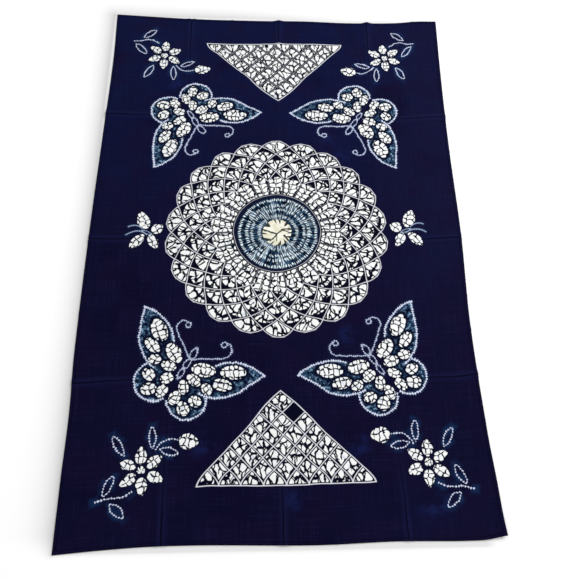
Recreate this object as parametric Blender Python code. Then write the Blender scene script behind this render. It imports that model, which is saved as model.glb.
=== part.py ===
"""A tie-dyed cotton tablecloth laid out flat on a table or floor: one hemmed sheet with the creases of its
storage folds. Metres, +Z up. The origin is under the middle of the sheet, +Y runs along its length."""

import bmesh
import bpy

# The cut sheet, hemmed.
CUT_WIDTH = 1.10
CUT_LENGTH = 1.70
CLOTH_THICK = 0.0012
HEM_WIDTH = 0.008
HEM_EXTRA = 0.0005

# How far each edge lies inside the straight cut line, as the sheet was laid out: the creases take up
# slack, and the corners are pulled out. Columns: share of the edge, from the left or the near end, and
# the distance inwards.
LEFT_EDGE = (
    (0.00, -0.0018),
    (0.10, -0.0017),
    (0.20, 0.0000),
    (0.29, -0.0047),
    (0.50, -0.0030),
    (0.70, 0.0030),
    (0.88, 0.0093),
    (1.00, 0.0057),
)
RIGHT_EDGE = (
    (0.00, 0.0024),
    (0.07, 0.0063),
    (0.15, 0.0140),
    (0.33, 0.0200),
    (0.50, 0.0102),
    (0.68, 0.0100),
    (0.85, 0.0040),
    (1.00, -0.0053),
)
NEAR_EDGE = (
    (0.00, -0.0066),
    (0.10, 0.0020),
    (0.20, 0.0080),
    (0.32, 0.0094),
    (0.57, 0.0047),
    (0.75, 0.0098),
    (0.94, 0.0086),
    (1.00, 0.0180),
)
FAR_EDGE = (
    (0.00, 0.0000),
    (0.10, 0.0062),
    (0.25, 0.0138),
    (0.45, 0.0155),
    (0.58, 0.0130),
    (0.70, 0.0168),
    (0.86, 0.0125),
    (0.94, 0.0020),
    (1.00, 0.0000),
)

# The creases of the storage folds. A ridge stands off the surface, and a trough touches it with a raised
# bank on each side. Columns: place across the sheet from its middle, half width, whether it is a ridge,
# and its height at the near or left end, in the middle and at the far or right end.
CREASES_ALONG = (
    (-0.297, 0.022, False, 0.0034, 0.0020, 0.0022),
    (0.000, 0.024, True, 0.0036, 0.0018, 0.0050),
    (0.305, 0.024, True, 0.0022, 0.0018, 0.0062),
)
CREASES_ACROSS = (
    (-0.434, 0.022, True, 0.0024, 0.0018, 0.0040),
    (-0.010, 0.020, False, 0.0026, 0.0016, 0.0026),
    (0.434, 0.024, True, 0.0042, 0.0020, 0.0036),
)
# The lines that carry a crease, as shares of its half width. A crease crosses its crest at 0.
CREASE_LINES = (-1.0, -0.6, -0.25, 0.0, 0.25, 0.6, 1.0)
BANK = 0.25

# The near right corner curls up off the surface.
CURL_LIFT = 0.010
CURL_REACH = 0.085
CURL_LINES = (0.022, 0.044, 0.066)

# The widest stretch of the sheet without a line of points.
PANEL_STEP = 0.075


def read_smooth(table, at):
    """The table's value at a share of the edge, on a smooth curve through its rows."""
    last = len(table) - 1
    i = next((k for k in range(last) if at <= table[k + 1][0]), last - 1)
    before, start, end, after = (table[min(max(k, 0), last)] for k in (i - 1, i, i + 1, i + 2))
    span = end[0] - start[0]
    share = (at - start[0]) / span
    slope_in = (end[1] - before[1]) / (end[0] - before[0]) * span
    slope_out = (after[1] - start[1]) / (after[0] - start[0]) * span
    square, cube = share**2, share**3
    return (
        (2 * cube - 3 * square + 1) * start[1]
        + (cube - 2 * square + share) * slope_in
        + (3 * square - 2 * cube) * end[1]
        + (cube - square) * slope_out
    )


def laid(across, along):
    """Where a point of the cut sheet lies, from its distances to the sheet's middle."""
    s = across / CUT_WIDTH + 0.5
    t = along / CUT_LENGTH + 0.5
    left, right = read_smooth(LEFT_EDGE, t), read_smooth(RIGHT_EDGE, t)
    near, far = read_smooth(NEAR_EDGE, s), read_smooth(FAR_EDGE, s)
    return across + left * (1 - s) - right * s, along + near * (1 - t) - far * t


def height_along(crease, share):
    """A crease's height at a share of its length: a curve through its two ends and its middle."""
    start, middle, end = crease[3:]
    return start * (1 - share) * (1 - 2 * share) + middle * 4 * share * (1 - share) + end * share * (2 * share - 1)


def crease_rise(creases, across, share):
    """The lift that one direction's creases give a point."""
    rise = 0.0
    for crease in creases:
        place, half_width, is_ridge = crease[:3]
        off = abs(across - place) / half_width
        if off >= 1:
            continue
        foot = ((1 - off) / (1 - BANK)) ** 2
        if is_ridge:
            shape = (1 - off) ** 2
        else:
            shape = foot if off > BANK else off / BANK
        rise = max(rise, shape * height_along(crease, share))
    return rise


def curl_rise(across, along):
    """The lift of the corner that curls up."""
    from_corner = (CUT_WIDTH / 2 - across) + (along + CUT_LENGTH / 2)
    return CURL_LIFT * max(0.0, 1 - from_corner / CURL_REACH) ** 2


def rise(across, along):
    """How far the underside is off the surface that the sheet lies on."""
    s = across / CUT_WIDTH + 0.5
    t = along / CUT_LENGTH + 0.5
    folds = max(crease_rise(CREASES_ALONG, across, t), crease_rise(CREASES_ACROSS, along, s))
    return max(folds, curl_rise(across, along))


def thickness(across, along):
    """The sheet's thickness, which is more over the turned hem."""
    to_edge = min(CUT_WIDTH / 2 - abs(across), CUT_LENGTH / 2 - abs(along))
    return CLOTH_THICK + (HEM_EXTRA if to_edge < HEM_WIDTH / 2 else 0.0)


def line_places(size, creases, curl_end):
    """The places of the sheet's lines of points in one direction, from its middle."""
    half = size / 2
    places = {-half, half, HEM_WIDTH - half, half - HEM_WIDTH}
    for crease in creases:
        places |= {crease[0] + crease[1] * share for share in CREASE_LINES}
    places |= {curl_end * (half - reach) for reach in CURL_LINES}
    found = sorted(places)
    filled = [found[0]]
    for place in found[1:]:
        gap = place - filled[-1]
        steps = max(1, round(gap / PANEL_STEP))
        start = filled[-1]
        filled += [start + gap * (k + 1) / steps for k in range(steps)]
    return filled


def sheet_mesh():
    """The closed sheet: an upper and an under grid joined round their rim, with the origin under its middle."""
    columns = line_places(CUT_WIDTH, CREASES_ALONG, 1)
    rows = line_places(CUT_LENGTH, CREASES_ACROSS, -1)
    flat = [[laid(x, y) for x in columns] for y in rows]
    middle = [
        (min(p[axis] for row in flat for p in row) + max(p[axis] for row in flat for p in row)) / 2
        for axis in (0, 1)
    ]
    made = bmesh.new()
    under, upper = [], []
    for y, row in zip(rows, flat):
        under_row, upper_row = [], []
        for x, (px, py) in zip(columns, row):
            lift = rise(x, y)
            under_row.append(made.verts.new((px - middle[0], py - middle[1], lift)))
            upper_row.append(made.verts.new((px - middle[0], py - middle[1], lift + thickness(x, y))))
        under.append(under_row)
        upper.append(upper_row)
    for j in range(len(rows) - 1):
        for i in range(len(columns) - 1):
            made.faces.new((upper[j][i], upper[j][i + 1], upper[j + 1][i + 1], upper[j + 1][i]))
            made.faces.new((under[j][i], under[j + 1][i], under[j + 1][i + 1], under[j][i + 1]))
    rims = (
        [(under[0][i], upper[0][i]) for i in range(len(columns))]
        + [(under[j][-1], upper[j][-1]) for j in range(1, len(rows))]
        + [(under[-1][i], upper[-1][i]) for i in range(len(columns) - 2, -1, -1)]
        + [(under[j][0], upper[j][0]) for j in range(len(rows) - 2, 0, -1)]
    )
    for (low, high), (next_low, next_high) in zip(rims, rims[1:] + rims[:1]):
        made.faces.new((low, next_low, next_high, high))
    mesh = bpy.data.meshes.new("tablecloth")
    made.to_mesh(mesh)
    made.free()
    mesh.shade_smooth()
    return mesh


def dyed_cotton():
    """Cotton dyed deep indigo."""
    material = bpy.data.materials.new("dyed_cotton")
    material.use_nodes = True
    finish = material.node_tree.nodes["Principled BSDF"]
    finish.inputs["Base Color"].default_value = (0.008, 0.010, 0.040, 1.0)
    finish.inputs["Roughness"].default_value = 0.85
    finish.inputs["Metallic"].default_value = 0.0
    return material


def main():
    for old in list(bpy.data.objects):
        bpy.data.objects.remove(old)
    cloth = bpy.data.objects.new("tablecloth", sheet_mesh())
    cloth.data.materials.append(dyed_cotton())
    bpy.context.scene.collection.objects.link(cloth)


main()
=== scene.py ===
"""A tie-dyed cotton tablecloth laid out flat on a pale floor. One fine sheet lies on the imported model's creases,
and its pattern is stitched resist in indigo: a rosette, two pennants, butterflies and flower sprays."""

import math

import bpy
import numpy as np
from mathutils import Euler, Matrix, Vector, noise


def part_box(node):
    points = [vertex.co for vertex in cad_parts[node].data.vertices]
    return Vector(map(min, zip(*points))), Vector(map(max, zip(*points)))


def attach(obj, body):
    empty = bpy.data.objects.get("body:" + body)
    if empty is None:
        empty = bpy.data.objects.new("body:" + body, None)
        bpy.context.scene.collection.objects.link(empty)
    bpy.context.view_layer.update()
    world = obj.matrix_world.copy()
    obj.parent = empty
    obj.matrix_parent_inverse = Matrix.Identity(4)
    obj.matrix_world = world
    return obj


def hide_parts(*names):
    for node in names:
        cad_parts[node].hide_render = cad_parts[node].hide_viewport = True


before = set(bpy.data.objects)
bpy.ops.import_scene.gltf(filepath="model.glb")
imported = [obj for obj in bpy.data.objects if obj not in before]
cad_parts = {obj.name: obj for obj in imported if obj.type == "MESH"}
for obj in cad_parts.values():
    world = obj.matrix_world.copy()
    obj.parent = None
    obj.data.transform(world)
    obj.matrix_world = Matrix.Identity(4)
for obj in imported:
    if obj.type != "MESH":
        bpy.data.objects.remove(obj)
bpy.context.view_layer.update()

MM = 0.001

# The camera that the photograph's perspective gives, for a square picture.
CAMERA_PLACE = (-0.0663, -0.8872, 1.6622)
CAMERA_TURN = (23.284, -2.690, -1.104)
CAMERA_LENS = 39.72
CAMERA_SENSOR = 36.0

# The cut sheet, hemmed, and how it was laid out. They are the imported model's sizes.
CUT_WIDTH = 1.10
CUT_LENGTH = 1.70
CLOTH_THICK = 0.9 * MM
HEM_WIDTH = 8 * MM
HEM_EXTRA = 0.5 * MM
LEFT_EDGE = (
    (0.00, -0.0018),
    (0.10, -0.0017),
    (0.20, 0.0000),
    (0.29, -0.0047),
    (0.50, -0.0030),
    (0.70, 0.0030),
    (0.88, 0.0093),
    (1.00, 0.0057),
)
RIGHT_EDGE = (
    (0.00, 0.0024),
    (0.07, 0.0063),
    (0.15, 0.0140),
    (0.33, 0.0200),
    (0.50, 0.0102),
    (0.68, 0.0100),
    (0.85, 0.0040),
    (1.00, -0.0053),
)
NEAR_EDGE = (
    (0.00, -0.0066),
    (0.10, 0.0020),
    (0.20, 0.0080),
    (0.32, 0.0094),
    (0.57, 0.0047),
    (0.75, 0.0098),
    (0.94, 0.0086),
    (1.00, 0.0180),
)
FAR_EDGE = (
    (0.00, 0.0000),
    (0.10, 0.0062),
    (0.25, 0.0138),
    (0.45, 0.0155),
    (0.58, 0.0130),
    (0.70, 0.0168),
    (0.86, 0.0125),
    (0.94, 0.0020),
    (1.00, 0.0000),
)

# Creases: place across the sheet, half width, whether it is a ridge, and its height at the near or left
# end, in the middle and at the far or right end.
CREASES_ALONG = (
    (-0.297, 0.022, False, 0.0034, 0.0016, 0.0022),
    (0.000, 0.024, True, 0.0036, 0.0012, 0.0050),
    (0.305, 0.024, True, 0.0022, 0.0012, 0.0062),
)
CREASES_ACROSS = (
    (-0.434, 0.022, True, 0.0024, 0.0014, 0.0040),
    (-0.010, 0.020, False, 0.0026, 0.0012, 0.0026),
    (0.434, 0.024, True, 0.0042, 0.0016, 0.0036),
)
BANK = 0.25

# Small wrinkles that run in from an edge: where they start, how long and wide they are, which way they
# run in degrees, and their height.
WRINKLES = (
    ((0.545, 0.226), 0.120, 0.007, 181, 0.0022),
    ((0.545, 0.300), 0.080, 0.006, 176, 0.0012),
    ((0.545, -0.200), 0.110, 0.007, 183, 0.0014),
    ((0.545, -0.302), 0.130, 0.007, 178, 0.0020),
    ((0.545, -0.560), 0.090, 0.006, 174, 0.0012),
    ((-0.545, 0.150), 0.090, 0.007, 3, 0.0012),
    ((-0.545, -0.240), 0.120, 0.008, -4, 0.0014),
    ((0.468, 0.845), 0.060, 0.006, -93, 0.0020),
    ((0.130, -0.845), 0.120, 0.008, 92, 0.0012),
    ((-0.130, -0.845), 0.100, 0.007, 86, 0.0012),
    ((-0.400, -0.845), 0.150, 0.008, 95, 0.0014),
    ((-0.160, 0.845), 0.080, 0.008, -88, 0.0014),
)
CURL_LIFT = 0.010
CURL_REACH = 0.085

# The sheet's lines of points: how far apart they are on open cloth and beside a crease.
OPEN_STEP = 8.5 * MM
CREASE_STEP = 2.4 * MM
CREASE_REACH = 21 * MM
UNEVEN_HEIGHT = 0.35 * MM
UNEVEN_SIZE = 0.07

# How bright a white surface looks under the studio light, and the light that dark cotton's nap sends back.
LIGHT_LEVEL = 1.10
NAP_GLOW = 0.0030


def read_smooth(table, at):
    """The table's value at a share of the edge, on a smooth curve through its rows."""
    last = len(table) - 1
    i = next((k for k in range(last) if at <= table[k + 1][0]), last - 1)
    before, start, end, after = (table[min(max(k, 0), last)] for k in (i - 1, i, i + 1, i + 2))
    span = end[0] - start[0]
    share = (at - start[0]) / span
    slope_in = (end[1] - before[1]) / (end[0] - before[0]) * span
    slope_out = (after[1] - start[1]) / (after[0] - start[0]) * span
    square, cube = share**2, share**3
    return (
        (2 * cube - 3 * square + 1) * start[1]
        + (cube - 2 * square + share) * slope_in
        + (3 * square - 2 * cube) * end[1]
        + (cube - square) * slope_out
    )


class Layout:
    """Where the points of the cut sheet lie, worked out once for each line of points."""

    def __init__(self, columns, rows):
        s = np.array(columns) / CUT_WIDTH + 0.5
        t = np.array(rows) / CUT_LENGTH + 0.5
        left, right = (np.array([read_smooth(edge, at) for at in t]) for edge in (LEFT_EDGE, RIGHT_EDGE))
        near, far = (np.array([read_smooth(edge, at) for at in s]) for edge in (NEAR_EDGE, FAR_EDGE))
        self.x = np.array(columns)[None, :] + left[:, None] * (1 - s)[None, :] - right[:, None] * s[None, :]
        self.y = np.array(rows)[:, None] + near[None, :] * (1 - t)[:, None] - far[None, :] * t[:, None]
        cad_low, cad_high = (Vector(corner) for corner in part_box("tablecloth"))
        self.middle = (
            (self.x.min() + self.x.max()) / 2 - (cad_low.x + cad_high.x) / 2,
            (self.y.min() + self.y.max()) / 2 - (cad_low.y + cad_high.y) / 2,
        )
        self.x -= self.middle[0]
        self.y -= self.middle[1]


def crease_height(crease, share):
    """A crease's height at a share of its length: a curve through its two ends and its middle."""
    start, middle, end = crease[3:]
    return start * (1 - share) * (1 - 2 * share) + middle * 4 * share * (1 - share) + end * share * (2 * share - 1)


def crease_rise(creases, across, share):
    """The lift that one direction's creases give a point: soft ridges, and troughs between soft banks."""
    rise = 0.0
    for crease in creases:
        place, half_width, is_ridge = crease[:3]
        off = abs(across - place) / half_width
        if off >= 1:
            continue
        if is_ridge:
            shape = (1 - off) ** 2 * (1 + off)
        else:
            past_bank = max(0.0, off - BANK) / (1 - BANK)
            shape = min(1.0, off / BANK) ** 1.5 * (1 - past_bank) ** 2 * (1 + past_bank)
        rise = max(rise, shape * crease_height(crease, share))
    return rise


def wrinkle_rise(across, along):
    """The lift of the small wrinkles, which die out away from the edge."""
    rise = 0.0
    for (start_x, start_y), length, half_width, turn, height in WRINKLES:
        run_x, run_y = math.cos(math.radians(turn)), math.sin(math.radians(turn))
        out_x, out_y = across - start_x, along - start_y
        forward = (out_x * run_x + out_y * run_y) / length
        aside = abs(out_y * run_x - out_x * run_y) / half_width
        if aside < 1 and -0.2 < forward < 1:
            rise = max(rise, height * (1 - aside**2) ** 2 * (1 - max(forward, 0.0)) ** 1.5)
    return rise


def cloth_rise(across, along):
    """How far the underside is off the surface that the sheet lies on."""
    s = across / CUT_WIDTH + 0.5
    t = along / CUT_LENGTH + 0.5
    folds = max(crease_rise(CREASES_ALONG, across, t), crease_rise(CREASES_ACROSS, along, s))
    from_corner = (CUT_WIDTH / 2 - across) + (along + CUT_LENGTH / 2)
    curl = CURL_LIFT * max(0.0, 1 - from_corner / CURL_REACH) ** 2
    uneven = UNEVEN_HEIGHT * (1 + noise.noise(Vector((across, along, 3.7)) / UNEVEN_SIZE))
    return max(folds, curl, wrinkle_rise(across, along)) + uneven


def line_places(size, fine_places):
    """The places of the sheet's lines of points in one direction, closer together beside a crease or hem."""
    half = size / 2
    places = [-half]
    while places[-1] < half:
        at = places[-1]
        fine = any(abs(at - place) < CREASE_REACH for place in fine_places)
        places.append(at + (CREASE_STEP if fine else OPEN_STEP))
    stretch = size / (places[-1] + half)
    places = [(place + half) * stretch - half for place in places]
    hem_lines = (-half + HEM_WIDTH * 0.85, -half + HEM_WIDTH, half - HEM_WIDTH, half - HEM_WIDTH * 0.85)
    kept = [p for p in places if min(abs(p - line) for line in hem_lines) > 1.2 * MM or abs(p) == half]
    return sorted(kept + list(hem_lines))


# Where each motif lies on the flat cloth, in metres from its middle. A frame is its origin, the turn of its
# own X axis in degrees, and 1 or -1 for each axis, where -1 mirrors it.
ROSETTE_PLACE = (-0.002, 0.016)
PENNANT_FRAMES = (
    ((-0.0150, 0.7455), 0.95, 1, -1),
    ((0.0118, -0.7085), 1.05, 1, 1),
)
BUTTERFLY_FRAMES = (
    ((-0.269, 0.422), 34, 1, -1),
    ((0.254, 0.428), 148, 1, 1),
    ((-0.251, -0.401), -31, 1, 1),
    ((0.270, -0.391), 213, 1, -1),
)
FAR_SPRAY_FRAMES = (
    ((-0.381, 0.684), 0, 1, 1),
    ((0.359, 0.694), 2, -1, 1),
)
NEAR_SPRAY_FRAMES = (
    ((-0.353, -0.671), 1, 1, -1),
    ((0.380, -0.660), -1, -1, -1),
)
SMALL_BUTTERFLY_FRAMES = (
    ((-0.386, 0.016), 0.5, 1, 1),
    ((0.385, 0.028), 0, -1, 1),
)

# The rosette: overlapping petals whose sides cross in a lattice, and long leaves round the core.
PETALS = 22
PETAL_TURN = math.radians(0.7)
PETAL_TIP = 0.3275
PETAL_SPREAD = 0.063
PETAL_ROUND = 0.197
PETAL_SHOULDER = 0.81
LEAF_FROM = 2.5
CORE_REACH = 0.1277
EYE_REACH = 0.0430

# The pennants: triangles of lattice cells with arches along the base.
PENNANT_HALF = 0.2270
PENNANT_HEIGHT = 0.2425
PENNANT_CELLS = 8
ARCH_TOP = 0.040
FAR_LEAN, NEAR_LEAN = 0.011, -0.003
APEX_BULGE = 0.20
EMPTY_CELL = (1, 0)

# The room that each motif's own cotton is given beyond the motif itself.
SPARE_CLOTH = 13 * MM


def in_frame(motif, place):
    """A place on the flat cloth in a motif's own frame."""
    (origin_x, origin_y), turn, way_x, way_y = motif
    out_x, out_y = place[0] - origin_x, place[1] - origin_y
    run_x, run_y = math.cos(math.radians(turn)), math.sin(math.radians(turn))
    return (out_x * run_x + out_y * run_y) * way_x, (out_y * run_x - out_x * run_y) * way_y


def needs_rosette(x, y):
    """Whether a place in the rosette's frame is on the rosette or close to it."""
    petals = (math.atan2(x, y) + PETAL_TURN) * PETALS / math.tau
    outline = PETAL_TIP - 0.078 * (petals - round(petals)) ** 2
    return math.hypot(x, y) < outline + SPARE_CLOTH


def needs_pennant(x, y):
    """As needs_rosette, for a pennant."""
    share = min(max(y / PENNANT_HEIGHT, 0.0), 1.0)
    return -0.015 < y < PENNANT_HEIGHT + 0.012 and abs(x) < PENNANT_HALF * (1 - share) + 0.030


def needs_butterfly(x, y):
    """As needs_rosette, for a butterfly. Its hind lobes are close to the body."""
    return abs(x) < 0.21 and (-0.145 if abs(x) < 0.115 else -0.06) < y < 0.130


def needs_small_butterfly(x, y):
    """As needs_rosette, for a small butterfly."""
    return -0.075 < x < 0.062 and abs(y) < 0.078


def needs_spray(x, y):
    """As needs_rosette, for a flower spray."""
    return -0.132 < x < 0.165 and abs(y) < 0.130


def motif_at(place):
    """The number of the cotton at a place on the flat cloth, and the frame that its motif is drawn in."""
    rosette = (ROSETTE_PLACE, 0.0, 1, 1)
    found = (
        (1, (rosette,), needs_rosette),
        (2, PENNANT_FRAMES, needs_pennant),
        (3, BUTTERFLY_FRAMES, needs_butterfly),
        (4, SMALL_BUTTERFLY_FRAMES, needs_small_butterfly),
        (5, FAR_SPRAY_FRAMES, needs_spray),
        (6, NEAR_SPRAY_FRAMES, needs_spray),
    )
    for number, frames, needs in found:
        for motif in frames:
            if needs(*in_frame(motif, place)):
                return number, motif
    return 0, rosette


def cloth_sheet(cottons):
    """The closed sheet of cloth, with its flat map in metres and each motif's own map on its faces."""
    columns = line_places(CUT_WIDTH, [crease[0] for crease in CREASES_ALONG])
    rows = line_places(CUT_LENGTH, [crease[0] for crease in CREASES_ACROSS])
    layout = Layout(columns, rows)
    wide, deep = len(columns), len(rows)
    points = []
    for thick in (0.0, 1.0):
        for j, y in enumerate(rows):
            for i, x in enumerate(columns):
                to_edge = min(CUT_WIDTH / 2 - abs(x), CUT_LENGTH / 2 - abs(y))
                hem = HEM_EXTRA if to_edge < HEM_WIDTH * 0.95 else 0.0
                height = cloth_rise(x, y) + thick * (CLOTH_THICK + hem)
                points.append((layout.x[j, i], layout.y[j, i], height))
    upper = wide * deep
    faces, flats = [], []

    def corner(i, j, layer):
        return layer * upper + j * wide + i

    for j in range(deep - 1):
        for i in range(wide - 1):
            round_up = ((i, j), (i + 1, j), (i + 1, j + 1), (i, j + 1))
            faces.append([corner(a, b, 1) for a, b in round_up])
            flats.append([(columns[a], rows[b]) for a, b in round_up])
            faces.append([corner(a, b, 0) for a, b in reversed(round_up)])
            flats.append([(columns[a], rows[b]) for a, b in reversed(round_up)])
    rim = (
        [(i, 0) for i in range(wide)]
        + [(wide - 1, j) for j in range(1, deep)]
        + [(i, deep - 1) for i in range(wide - 2, -1, -1)]
        + [(0, j) for j in range(deep - 2, 0, -1)]
    )
    for (a, b), (c, d) in zip(rim, rim[1:] + rim[:1]):
        faces.append([corner(a, b, 0), corner(c, d, 0), corner(c, d, 1), corner(a, b, 1)])
        flats.append([(columns[a], rows[b]), (columns[c], rows[d]), (columns[c], rows[d]), (columns[a], rows[b])])
    mesh = bpy.data.meshes.new("tablecloth_sheet")
    mesh.from_pydata(points, [], faces)
    for cotton in cottons:
        mesh.materials.append(cotton)
    flat_map = mesh.uv_layers.new(name="flat")
    motif_map = mesh.uv_layers.new(name="motif")
    flat_values, motif_values, numbers = [], [], []
    for flat in flats:
        middle = [sum(place[axis] for place in flat) / len(flat) for axis in (0, 1)]
        number, motif = motif_at(middle)
        numbers.append(number)
        for place in flat:
            flat_values.extend(place)
            motif_values.extend(in_frame(motif, place))
    flat_map.data.foreach_set("uv", flat_values)
    motif_map.data.foreach_set("uv", motif_values)
    mesh.polygons.foreach_set("material_index", numbers)
    mesh.polygons.foreach_set("use_smooth", [True] * len(faces))
    mesh.update()
    cloth = bpy.data.objects.new("tablecloth_sheet", mesh)
    bpy.context.scene.collection.objects.link(cloth)
    return cloth, layout


class Field:
    """A number that changes over the cloth, held in a node's output. It adds and multiplies as numbers do."""

    def __init__(self, socket):
        self.socket = socket
        self.tree = socket.id_data

    def __add__(self, other):
        return maths("ADD", self, other)

    def __sub__(self, other):
        return maths("SUBTRACT", self, other)

    def __mul__(self, other):
        return maths("MULTIPLY", self, other)

    def __truediv__(self, other):
        return maths("DIVIDE", self, other)

    def __rsub__(self, other):
        return maths("SUBTRACT", other, self)

    def __rtruediv__(self, other):
        return maths("DIVIDE", other, self)

    __radd__ = __add__
    __rmul__ = __mul__


def plug(tree, socket, value):
    """Links a field or socket to a node's input, or sets the input to a plain value."""
    if isinstance(value, Field):
        tree.links.new(value.socket, socket)
    elif isinstance(value, bpy.types.NodeSocket):
        tree.links.new(value, socket)
    else:
        socket.default_value = value


def tree_of(values):
    return next(v.tree if isinstance(v, Field) else v.id_data for v in values if isinstance(v, (Field, bpy.types.NodeSocket)))


def maths(operation, *values):
    """One Math node."""
    tree = tree_of(values)
    node = tree.nodes.new("ShaderNodeMath")
    node.operation = operation
    for socket, value in zip(node.inputs, values):
        plug(tree, socket, value)
    return Field(node.outputs[0])


def least(*values):
    """The smallest of several numbers."""
    found = values[0]
    for value in values[1:]:
        found = maths("MINIMUM", found, value)
    return found


def most(*values):
    """The largest of several numbers."""
    found = values[0]
    for value in values[1:]:
        found = maths("MAXIMUM", found, value)
    return found


def size_of(value):
    return maths("ABSOLUTE", value)


def to_whole(value):
    """How far a number is from the nearest whole one."""
    return maths("PINGPONG", value, 0.5)


def fade(value, start, end):
    """0 up to start and 1 from end on, or the other way round if end is the lower."""
    node = value.tree.nodes.new("ShaderNodeMapRange")
    node.interpolation_type = "SMOOTHSTEP"
    for name, given in (("Value", value), ("From Min", start), ("From Max", end)):
        plug(value.tree, node.inputs[name], given)
    return Field(node.outputs["Result"])


def chosen(share, first, second):
    """The first number where share is 0, and the second where it is 1."""
    node = share.tree.nodes.new("ShaderNodeMix")
    node.data_type = "FLOAT"
    for name, given in (("Factor", share), ("A", first), ("B", second)):
        plug(share.tree, node.inputs[name], given)
    return Field(node.outputs["Result"])


def chosen_point(share, first, second):
    """As chosen, for points."""
    node = share.tree.nodes.new("ShaderNodeMix")
    node.data_type = "VECTOR"
    inputs = {socket.identifier: socket for socket in node.inputs}
    plug(share.tree, inputs["Factor_Float"], share)
    plug(share.tree, inputs["A_Vector"], first)
    plug(share.tree, inputs["B_Vector"], second)
    return next(socket for socket in node.outputs if socket.identifier == "Result_Vector")


def tinted(share, first, second):
    """As chosen, for colours."""
    node = share.tree.nodes.new("ShaderNodeMix")
    node.data_type = "RGBA"
    inputs = {socket.identifier: socket for socket in node.inputs}
    plug(share.tree, inputs["Factor_Float"], share)
    plug(share.tree, inputs["A_Color"], first)
    plug(share.tree, inputs["B_Color"], second)
    return next(socket for socket in node.outputs if socket.identifier == "Result_Color")


def vector_maths(operation, *values):
    """One Vector Math node. It returns its vector, or its number where the operation gives one."""
    tree = tree_of(values)
    node = tree.nodes.new("ShaderNodeVectorMath")
    node.operation = operation
    for socket, value in zip(node.inputs, values):
        plug(tree, socket, value)
    gives_number = operation in ("LENGTH", "DISTANCE", "DOT_PRODUCT")
    return Field(node.outputs["Value"]) if gives_number else node.outputs["Vector"]


def parts(point):
    """A point's X and Y."""
    node = point.id_data.nodes.new("ShaderNodeSeparateXYZ")
    plug(point.id_data, node.inputs[0], point)
    return Field(node.outputs["X"]), Field(node.outputs["Y"])


def joined(x, y, z=0.0):
    """A point from its parts."""
    tree = tree_of((x, y, z))
    node = tree.nodes.new("ShaderNodeCombineXYZ")
    for socket, value in zip(node.inputs, (x, y, z)):
        plug(tree, socket, value)
    return node.outputs[0]


def moved(point, centre, turn=0.0, size=(1.0, 1.0)):
    """A point in a frame of its own, at a centre in metres, turned by degrees and with units of that size."""
    tree = point.id_data
    node = tree.nodes.new("ShaderNodeMapping")
    node.vector_type = "TEXTURE"
    plug(tree, node.inputs["Vector"], point)
    node.inputs["Location"].default_value = (*centre, 0.0)
    node.inputs["Rotation"].default_value = (0.0, 0.0, math.radians(turn))
    node.inputs["Scale"].default_value = (*size, 1.0)
    return node.outputs[0]


def noise_on(point, features, detail=2.0, roughness=0.5):
    """A noise node with so many features in a metre."""
    tree = point.id_data
    node = tree.nodes.new("ShaderNodeTexNoise")
    plug(tree, node.inputs["Vector"], point)
    node.inputs["Scale"].default_value = features
    node.inputs["Detail"].default_value = detail
    node.inputs["Roughness"].default_value = roughness
    return node


def mottle(point, features, detail=2.0, roughness=0.5):
    """Soft cloudy unevenness, from 0 to 1."""
    return Field(noise_on(point, features, detail, roughness).outputs["Fac"])


def wavering(point, place, reach, features, detail=1.0):
    """A point moved about by up to a reach, as a hand-drawn line wavers."""
    tree = point.id_data
    wander = noise_on(place, features, detail).outputs["Color"]
    node = tree.nodes.new("ShaderNodeVectorMath")
    node.operation = "MULTIPLY_ADD"
    plug(tree, node.inputs[0], wander)
    node.inputs[1].default_value = (4 * reach, 4 * reach, 0.0)
    centred = vector_maths("SUBTRACT", point, (2 * reach, 2 * reach, 0.0))
    plug(tree, node.inputs[2], centred)
    return node.outputs["Vector"]


def to_crackle(point, uneven):
    """How far a point is from the cracks between uneven cells of about one unit."""
    tree = point.id_data
    node = tree.nodes.new("ShaderNodeTexVoronoi")
    node.voronoi_dimensions = "2D"
    node.feature = "DISTANCE_TO_EDGE"
    plug(tree, node.inputs["Vector"], point)
    node.inputs["Scale"].default_value = 1.0
    node.inputs["Randomness"].default_value = uneven
    return Field(node.outputs["Distance"])


def map_of(tree, name):
    """The cloth's flat map, or the map of the motif's own frame, in metres."""
    node = tree.nodes.new("ShaderNodeUVMap")
    node.uv_map = name
    return node.outputs["UV"]


def tone(red, green, blue):
    """The colour of a dye that looks so, from 0 to 255, under the studio light."""
    channels = []
    for channel in (red, green, blue):
        share = channel / 255
        linear = share / 12.92 if share <= 0.04045 else ((share + 0.055) / 1.055) ** 2.4
        channels.append(min(max(linear - NAP_GLOW, 0.0003) / LIGHT_LEVEL, 0.9))
    return (*channels, 1.0)


def new_group(name, takes, gives):
    """An empty node group with named sockets, and its input and output nodes."""
    group = bpy.data.node_groups.new(name, "ShaderNodeTree")
    kinds = {"number": "NodeSocketFloat", "point": "NodeSocketVector", "colour": "NodeSocketColor"}
    for label, (kind, value) in takes.items():
        socket = group.interface.new_socket(label, in_out="INPUT", socket_type=kinds[kind])
        if value is not None:
            socket.default_value = value
    for label, kind in gives.items():
        group.interface.new_socket(label, in_out="OUTPUT", socket_type=kinds[kind])
    return group, group.nodes.new("NodeGroupInput"), group.nodes.new("NodeGroupOutput")


def placed(tree, group, **given):
    """A group placed in a tree. Its inputs are named with underscores for spaces."""
    node = tree.nodes.new("ShaderNodeGroup")
    node.node_tree = group
    for name, value in given.items():
        plug(tree, node.inputs[name.replace("_", " ")], value)
    return node


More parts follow.
